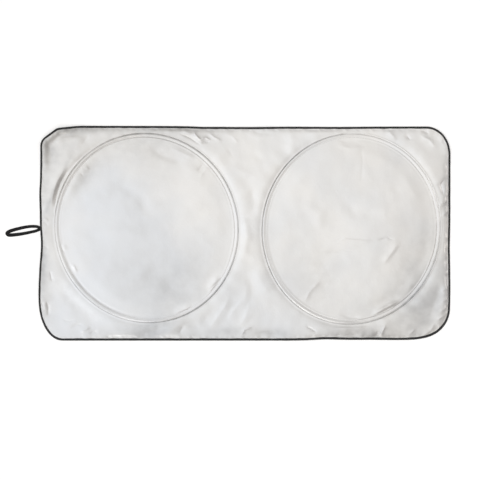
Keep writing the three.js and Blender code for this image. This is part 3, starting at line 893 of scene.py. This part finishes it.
def binding_width():
    """Width of the tape along the outline: fuller on the long sides and in the bottom right corner."""
    on_side = smooth((np.abs(edge[:, 1]) / SIDE_Y - 0.8) / 0.2)
    low = on_side * (edge[:, 1] < 0)
    corner = bell(np.hypot(edge[:, 0] - 0.95 * END_X, edge[:, 1] + 0.92 * SIDE_Y), 60)
    width = BINDING_WIDTH * (0.9 + 0.07 * on_side + 0.06 * low + 0.16 * corner)
    return width + 0.35 * waves(edge_along, (41, 67, 150), seed=22)


def closed_loft(name, rings):
    """Closed tube from rings of points that run round a loop."""
    count, sides = rings.shape[:2]
    faces = []
    for i in range(count):
        for k in range(sides):
            a, b = i * sides + k, i * sides + (k + 1) % sides
            c, d = ((i + 1) % count) * sides + (k + 1) % sides, ((i + 1) % count) * sides + k
            faces.append((a, d, c, b))
    return mesh_object(name, rings.reshape(-1, 3), faces)


def binding_object():
    """Folded tape: its section follows the edge, sunk along its seam and open towards the cloth."""
    slot = CLOTH / 2 + SEAT_GAP
    fold = CLOTH_INSET - SEAT_GAP
    top = [(1, -0.16), (0.94, 0), (0.86, 0.02), (TAPE_SEAM, -0.14), (0.7, 0.03), (0.45, 0.12), (0.2, 0.02)]
    nose = [(0.05, 0.72 * BINDING_HALF), (0, 0.25 * BINDING_HALF)]
    half = [(share, BINDING_HALF + rise) for share, rise in top] + nose
    width, middle = binding_width(), edge_middle()
    rings = []
    for i, p in enumerate(edge):
        shape = [(share * width[i], up) for share, up in half]
        shape += [(depth, -up) for depth, up in reversed(shape)]
        shape += [(width[i], -slot), (fold, -slot), (fold, slot), (width[i], slot)]
        rings.append([(*(p + depth * edge_inward[i]), middle[i] + up) for depth, up in shape])
    return closed_loft("binding", np.array(rings))


# Stitches


def stitch_object(name, places, along, thread):
    """A row of stitches: a short thread at each place, thickest in its middle."""
    along = unit(along)
    across = np.column_stack([left_of(along), np.zeros(len(along))])
    up = np.array([0, 0, 1.0])
    corners = ((1, 0), (0, 1), (-1, 0), (0, -1))
    points, faces = [], []
    for p, a, c in zip(places, along, across):
        a3 = np.array([a[0], a[1], 0])
        first = len(points)
        for share, size, sink in ((-1, 0.3, 0.7), (-0.5, 1, 0), (0.5, 1, 0), (1, 0.3, 0.7)):
            middle = p + a3 * share * STITCH_LENGTH / 2 - up * sink * thread
            points += [middle + thread * size * (c * k + up * m) for k, m in corners]
        for ring in range(3):
            for k in range(4):
                a0, a1 = first + 4 * ring + k, first + 4 * ring + (k + 1) % 4
                faces.append((a0, a1, a1 + 4, a0 + 4))
        faces.append(tuple(first + k for k in (3, 2, 1, 0)))
        faces.append(tuple(first + 12 + k for k in (0, 1, 2, 3)))
    return mesh_object(name, points, faces)


def binding_stitches(name, side):
    """Stitches along the binding, on its upper side or its lower one."""
    width, middle = binding_width(), edge_middle()
    count = int(len(edge) * EDGE_STEP / STITCH_PITCH)
    at = np.linspace(0, len(edge), count, endpoint=False)
    wrap = np.arange(len(edge) + 1)

    def at_stitches(values):
        return np.interp(at, wrap, np.append(values, values[0]))

    row = edge + TAPE_SEAM * width[:, None] * edge_inward
    x, y, z = at_stitches(row[:, 0]), at_stitches(row[:, 1]), at_stitches(middle)
    places = np.column_stack([x, y, z + side * (BINDING_HALF - 0.05)])
    along = np.column_stack([-at_stitches(edge_inward[:, 1]), at_stitches(edge_inward[:, 0])])
    return stitch_object(name, places, along, BINDING_THREAD)


def seam_stitches(name, side):
    """The two rows of stitches that hold a casing, seen on the face of the cloth."""
    hoop = frames[side]
    places, along = [], []
    for offset in (OUTER_SEAM, -INNER_SEAM):
        count = int(2 * math.pi * np.abs(hoop["shape"]).max() / STITCH_PITCH)
        row = hoop_points(hoop, full_turn(count), offset)
        places.append(np.column_stack([row, cloth_underside(row) + CLOTH + 0.02]))
        along.append(np.roll(row, -1, axis=0) - row)
    return stitch_object(name, np.vstack(places), np.vstack(along), SEAM_THREAD)


# Casings on the back


def casing_object(side):
    """Strip that carries a hoop's wire. Its free edges wave a little and curl off the floor."""
    angle = full_turn(420)
    outside, inside = OUTER_SEAM + SEAM_ALLOWANCE, -(INNER_SEAM + SEAM_ALLOWANCE)
    shares = [0, 0.12, 0.24, 0.42, 0.62, 0.78, 0.9, 1]
    ripple = 0.5 * waves(angle * RIPPLE_RADIUS, (11, 17, 29), seed=31)
    rings = []
    for low in (True, False):
        for share in shares if low else reversed(shares):
            offset = inside + (outside - inside) * share + 0.3 * ripple
            curled = low and abs(share - 0.5) > 0.4
            height = (0.08 if low else CASING - 0.08) + curled * 0.1 * (1 + ripple)
            rings.append(np.column_stack([hoop_points(frames[side], angle, offset), height]))
    return closed_loft(side + "_casing_strip", np.stack(rings, axis=1))


# Elastic loop


def smooth_path(controls, count):
    """Even points on a smooth curve through the controls."""
    p = np.array(controls, float)
    p = np.vstack([2 * p[0] - p[1], p, 2 * p[-1] - p[-2]])
    points = []
    for i in range(1, len(p) - 2):
        for t in np.linspace(0, 1, 40, endpoint=False):
            a = -0.5 * p[i - 1] + 1.5 * p[i] - 1.5 * p[i + 1] + 0.5 * p[i + 2]
            b = p[i - 1] - 2.5 * p[i] + 2 * p[i + 1] - 0.5 * p[i + 2]
            c = -0.5 * p[i - 1] + 0.5 * p[i + 1]
            points.append(((a * t + b) * t + c) * t + p[i])
    points.append(p[-2])
    return spaced(np.array(points), count)


def loop_frame():
    """Where the loop leaves the edge, the way that it points, and the way across it."""
    root_x = edge[(edge[:, 0] < 0) & (np.abs(edge[:, 1] - LOOP_AT) < EDGE_STEP)][0, 0]
    turn = math.pi + math.radians(LOOP_DROOP)
    along = np.array([math.cos(turn), math.sin(turn)])
    return np.array([root_x, LOOP_AT]), along, np.array([along[1], -along[0]])


def loop_path():
    """Middle line of the strap: out from under the binding, round the tip, and back below its start."""
    root, along, up = loop_frame()
    low = STRAP_THICKNESS / 2
    high = low + STRAP_THICKNESS + SEAT_GAP
    way = [(-STRAP_TUCK, -ROOT_SPREAD / 2)]
    way += [(share * LOOP_REACH, bow * UPPER_BOW) for share, bow in UPPER_STRAND]
    way += [(share * LOOP_REACH, bow * -LOWER_BOW) for share, bow in LOWER_STRAND]
    way += [(-STRAP_TUCK, ROOT_SPREAD / 2)]
    heights = [high, high, (low + high) / 2] + [low] * (len(way) - 3)
    return smooth_path([(*(root + along * s + up * t), z) for (s, t), z in zip(way, heights)], 240)


def loop_object():
    """The strap along its path. Where it bends more sharply than it is wide, it is gathered in."""
    root, out, _ = loop_frame()
    path = loop_path()
    direction = np.gradient(path, axis=0)[:, :2]
    spacing = np.linalg.norm(direction, axis=1)
    direction = unit(direction)
    across = left_of(direction)
    bend = (np.gradient(direction, axis=0) * across).sum(axis=1) / spacing
    to_tip = smooth(((path[:, :2] - root) @ out) / LOOP_REACH)
    half = (STRAP_WIDTH + (TIP_WIDTH - STRAP_WIDTH) * to_tip) / 2
    inner = np.minimum(half, 0.9 / np.maximum(bend, 1e-6))
    outer = np.minimum(half, 0.9 / np.maximum(-bend, 1e-6))
    thick = STRAP_THICKNESS / 2
    height = np.maximum(path[:, 2], thick)
    rings = []
    for k, (p, a, z) in enumerate(zip(path, across, height)):
        reach = [side * (inner[k] if side > 0 else outer[k]) for side, _ in STRAP_SECTION]
        rings.append([(*(p[:2] + a * r), z + lift * thick) for r, (_, lift) in zip(reach, STRAP_SECTION)])
    return open_loft("loop", np.array(rings))


def open_loft(name, rings):
    """Tube from rings of points, with both its ends covered."""
    count, sides = rings.shape[:2]
    faces = []
    for i in range(count - 1):
        for k in range(sides):
            a, b = i * sides + k, i * sides + (k + 1) % sides
            faces.append((a, b, b + sides, a + sides))
    faces.append(tuple(reversed(range(sides))))
    faces.append(tuple((count - 1) * sides + k for k in range(sides)))
    return mesh_object(name, rings.reshape(-1, 3), faces)


# Materials


def material(name, color, roughness, metallic=0.0, specular=0.5):
    """Principled material. Its colour and roughness stand until a node drives them."""
    made = bpy.data.materials.new(name)
    made.use_nodes = True
    shader = made.node_tree.nodes["Principled BSDF"]
    shader.inputs["Base Color"].default_value = (*color, 1)
    shader.inputs["Roughness"].default_value = roughness
    shader.inputs["Metallic"].default_value = metallic
    shader.inputs["Specular IOR Level"].default_value = specular
    return made


def add(made, kind, inputs=None, **settings):
    """A node with its settings, and its inputs from values or from other nodes' outputs."""
    tree = made.node_tree
    node = tree.nodes.new("ShaderNode" + kind)
    for name, value in settings.items():
        setattr(node, name, value)
    for name, value in (inputs or {}).items():
        if isinstance(value, bpy.types.NodeSocket):
            tree.links.new(value, node.inputs[name])
        else:
            node.inputs[name].default_value = value
    return node


def drive(made, socket, output):
    made.node_tree.links.new(output, made.node_tree.nodes["Principled BSDF"].inputs[socket])


def place_of(made):
    return add(made, "TexCoord").outputs["Object"]


def noise(made, place, size, detail=2.0, distortion=0.0):
    """Noise whose blotches are about that many millimetres across."""
    inputs = {"Vector": place, "Scale": 1 / (size * MM), "Detail": detail, "Distortion": distortion}
    return add(made, "TexNoise", inputs).outputs["Fac"]


def spread(made, value, low, high):
    """A noise value stretched to a range."""
    inputs = {"Value": value, "From Min": 0.3, "From Max": 0.7, "To Min": low, "To Max": high}
    return add(made, "MapRange", inputs).outputs["Result"]


def set_ends(ramp, *stops):
    """Places and colours of the two ends of a ramp."""
    for end, (position, color) in zip(ramp.elements, stops):
        end.position = position
        end.color = (*color, 1)


def blend_colors(made, value, first, second):
    blend = add(made, "ValToRGB", {"Fac": value})
    set_ends(blend.color_ramp, (0.3, first), (0.7, second))
    return blend.outputs["Color"]


def threads(made, place, pitch, turn=0.0):
    """Height of crossing threads, that many millimetres apart."""
    turned = add(made, "Mapping", {"Vector": place, "Rotation": (0, 0, math.radians(turn))}).outputs[0]
    scale = 2 * math.pi / (20 * pitch * MM)
    sets = []
    for direction in ("X", "Y"):
        wave = add(made, "TexWave", {"Vector": turned, "Scale": scale}, bands_direction=direction)
        sets.append(wave.outputs["Fac"])
    return add(made, "Math", {0: sets[0], 1: sets[1]}, operation="MULTIPLY").outputs[0]


def bump(made, height, strength, distance, under=None):
    inputs = {"Height": height, "Strength": strength, "Distance": distance * MM}
    if under is not None:
        inputs["Normal"] = under
    return add(made, "Bump", inputs).outputs["Normal"]


def silver_material():
    """Satin silver coating on thin plain weave, with small crinkles, a faint random tint, and painted
    reflection tints, painted shade and painted highlights from place to place.
    """
    made = material("silver_cloth", (0.86, 0.86, 0.85), 0.4, 0.5)
    place = place_of(made)
    # Painted cool reflection tint, set against a faint random warm tint.
    painted_reflection_tint = add(made, "Attribute", attribute_name="painted_reflection_tint").outputs["Fac"]
    warm = spread(made, noise(made, place, 200, 2), 0.48, 0.76)
    random_tone_and_painted_tint = add(made, "Math", {0: warm, 1: painted_reflection_tint}, operation="SUBTRACT").outputs[0]
    tint = blend_colors(made, random_tone_and_painted_tint, (0.785, 0.8, 0.822), (0.882, 0.871, 0.854))
    # Painted shade, with painted highlight where it is under 0, made a little uneven, darkens the coating's
    # colour.
    wear_and_painted_shade = add(made, "Attribute", attribute_name="dull_and_painted_shade").outputs["Fac"]
    uneven = spread(made, noise(made, place, 24, 3), 0.75, 1.25)
    wear_and_painted_shade = add(made, "Math", {0: wear_and_painted_shade, 1: uneven}, operation="MULTIPLY").outputs[0]
    left = add(made, "Math", {0: 1.0, 1: wear_and_painted_shade}, operation="SUBTRACT").outputs[0]
    tint = add(made, "VectorMath", {0: tint, "Scale": left}, operation="SCALE").outputs["Vector"]
    drive(made, "Base Color", tint)
    drive(made, "Roughness", spread(made, noise(made, place, 60, 4), 0.32, 0.44))
    crinkle = add(made, "TexVoronoi", {"Vector": place, "Scale": 1 / (34 * MM)})
    soft = noise(made, place, 26, 3, 0.6)
    rough = add(made, "Math", {0: crinkle.outputs["Distance"], 1: soft}, operation="MULTIPLY").outputs[0]
    surface = bump(made, rough, 0.22, 3.0)
    drive(made, "Normal", bump(made, threads(made, place, 0.55), 0.2, 0.06, surface))
    return made


def tape_material():
    """Matt black grosgrain, greyer where it is rubbed."""
    made = material("black_tape", (0.024, 0.024, 0.025), 0.85)
    place = place_of(made)
    wear_and_painted_shade = noise(made, place, 9, 5, 0.4)
    drive(made, "Base Color", blend_colors(made, wear_and_painted_shade, (0.016, 0.016, 0.017), (0.034, 0.034, 0.035)))
    drive(made, "Roughness", spread(made, noise(made, place, 4, 3), 0.75, 0.95))
    drive(made, "Normal", bump(made, threads(made, place, 0.9, 45), 0.5, 0.15))
    return made


def elastic_material():
    """Black braid: slanting threads that catch the light a little, with painted shade in the grooves between
    them and painted highlight on their crests.
    """
    made = material("black_elastic", (0.01, 0.01, 0.011), 0.7, specular=0.25)
    place = place_of(made)
    braid = threads(made, place, 2.2, 38)
    # The braid's colour is painted shade in the grooves between its threads and painted highlight on their
    # crests.
    drive(made, "Base Color", blend_colors(made, braid, (0.006, 0.006, 0.0065), (0.022, 0.022, 0.023)))
    drive(made, "Roughness", spread(made, noise(made, place, 3, 3), 0.6, 0.85))
    drive(made, "Normal", bump(made, braid, 0.6, 0.3))
    return made


def lining_material():
    """Plain grey woven strip."""
    made = material("grey_lining", (0.46, 0.46, 0.47), 0.85)
    place = place_of(made)
    shade = noise(made, place, 30, 4)
    drive(made, "Base Color", blend_colors(made, shade, (0.42, 0.42, 0.43), (0.5, 0.5, 0.51)))
    drive(made, "Roughness", spread(made, noise(made, place, 12, 3), 0.78, 0.92))
    drive(made, "Normal", bump(made, threads(made, place, 0.7), 0.4, 0.12))
    return made


def thread_material(name, dark, light):
    """Twisted polyester thread, with painted shade in the grooves of its twist and painted highlight on its
    crests.
    """
    made = material(name, light, 0.5)
    place = place_of(made)
    twist = threads(made, place, 0.5, 30)
    # The thread's colour is painted shade in the grooves of its twist and painted highlight on its crests.
    drive(made, "Base Color", blend_colors(made, twist, dark, light))
    drive(made, "Roughness", spread(made, noise(made, place, 5, 2), 0.4, 0.6))
    drive(made, "Normal", bump(made, twist, 0.4, 0.08))
    return made


def steel_material(name, color, grain):
    """Drawn wire or tube, with fine lines and dull patches."""
    made = material(name, color, 0.35, 1.0)
    place = place_of(made)
    dull_and_painted_shade = noise(made, place, grain, 4)
    drive(made, "Base Color", blend_colors(made, dull_and_painted_shade, tuple(0.9 * c for c in color), color))
    drive(made, "Roughness", spread(made, dull_and_painted_shade, 0.25, 0.45))
    drive(made, "Normal", bump(made, noise(made, place, 0.8, 2), 0.15, 0.05))
    return made


def dress(made, finish, slot, *nodes):
    """Gives a piece its material, its body and the CAD nodes that it stands for."""
    made.data.materials.append(finish)
    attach(made, "root")
    if nodes:
        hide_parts(*nodes)


# Stage


def floor_object():
    """Pale floor. What the camera sees of it is lifted to white, and the shade's shadow stays."""
    size = 6000
    corners = [(-size, -size), (size, -size), (size, size), (-size, size)]
    made = mesh_object("floor", [(x, y, -0.2) for x, y in corners], [(0, 1, 2, 3)])
    finish = material("floor_white", (0.88, 0.88, 0.88), 0.9)
    drive(finish, "Roughness", spread(finish, noise(finish, place_of(finish), 300, 2), 0.88, 0.95))
    rays = add(finish, "LightPath").outputs
    seen = add(finish, "Math", {0: rays["Is Camera Ray"], 1: rays["Is Glossy Ray"]}, operation="ADD")
    seen = add(finish, "Math", {0: seen.outputs[0], 1: rays["Is Transmission Ray"]}, operation="ADD")
    lift = add(finish, "Math", {0: seen.outputs[0], 1: FLOOR_LIFT}, operation="MULTIPLY")
    drive(finish, "Emission Strength", lift.outputs[0])
    finish.node_tree.nodes["Principled BSDF"].inputs["Emission Color"].default_value = (1, 1, 1, 1)
    made.data.materials.append(finish)


def area_light(name, place, size, power, color):
    lamp = bpy.data.lights.new(name, "AREA")
    lamp.shape = "RECTANGLE"
    lamp.size, lamp.size_y = size
    lamp.energy = power
    lamp.color = color
    made = bpy.data.objects.new(name, lamp)
    made.location = place
    made.rotation_euler = (-made.location).to_track_quat("-Z", "Y").to_euler()
    bpy.context.scene.collection.objects.link(made)


def camera():
    lens = bpy.data.cameras.new("camera")
    lens.sensor_width = SENSOR
    lens.lens = SENSOR * CAMERA_HEIGHT / VIEW_WIDTH
    made = bpy.data.objects.new("camera", lens)
    made.location = (VIEW_CENTRE[0] * MM, VIEW_CENTRE[1] * MM, CAMERA_HEIGHT * MM)
    bpy.context.scene.collection.objects.link(made)
    bpy.context.scene.camera = made


def world():
    """Studio walls and ceiling: bright and cool over the left end, dim and warm to the right."""
    made = bpy.data.worlds.new("studio")
    made.use_nodes = True
    direction = add(made, "TexCoord").outputs["Generated"]
    facing = add(made, "VectorMath", {0: direction, 1: BRIGHT_SIDE}, operation="DOT_PRODUCT")
    shades = add(made, "ValToRGB", {"Fac": facing.outputs["Value"]})
    set_ends(shades.color_ramp, SKY_STEPS[0], SKY_STEPS[-1])
    for position, color in SKY_STEPS[1:-1]:
        shades.color_ramp.elements.new(position).color = (*color, 1)
    glow = made.node_tree.nodes["Background"]
    made.node_tree.links.new(shades.outputs["Color"], glow.inputs["Color"])
    glow.inputs["Strength"].default_value = SKY
    white = add(made, "Background", {"Color": (1, 1, 1, 1)})
    seen = add(made, "LightPath").outputs["Is Camera Ray"]
    mixed = add(made, "MixShader", {0: seen, 1: glow.outputs[0], 2: white.outputs[0]})
    made.node_tree.links.new(mixed.outputs[0], made.node_tree.nodes["World Output"].inputs["Surface"])
    bpy.context.scene.world = made


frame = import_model()

silver = silver_material()
tape = tape_material()
lining = lining_material()
elastic = elastic_material()
black_thread = thread_material("black_thread", (0.012, 0.012, 0.013), (0.04, 0.04, 0.042))
grey_thread = thread_material("grey_thread", (0.3, 0.3, 0.3), (0.5, 0.5, 0.5))
wire_steel = steel_material("spring_steel", (0.56, 0.57, 0.58), 12)
sleeve_steel = steel_material("tinned_steel", (0.71, 0.72, 0.73), 5)

cloth = cloth_mesh()
dress(cloth, silver, "silver_cloth", "cloth_panel")
binding = binding_object()
dress(binding, tape, "black_tape", "edge_binding")
for label, side in (("upper", 1), ("lower", -1)):
    dress(binding_stitches("binding_stitches_" + label, side), black_thread, "black_tape")
for side in HOOPS:
    dress(seam_stitches(side + "_seam_stitches", side), grey_thread, "silver_cloth")
    dress(casing_object(side), lining, "grey_lining", side + "_casing")
dress(loop_object(), elastic, "black_elastic", "elastic_loop")
for name, finish in (("_hoop", wire_steel), ("_hoop_sleeve", sleeve_steel)):
    for side in HOOPS:
        node = frame["nodes"][side + name]
        node.data.materials.clear()
        node.data.materials.append(finish)

floor_object()
for name, values in SOFTBOXES.items():
    area_light(name, *values)
camera()
world()
bpy.context.scene.view_settings.view_transform = "Standard"
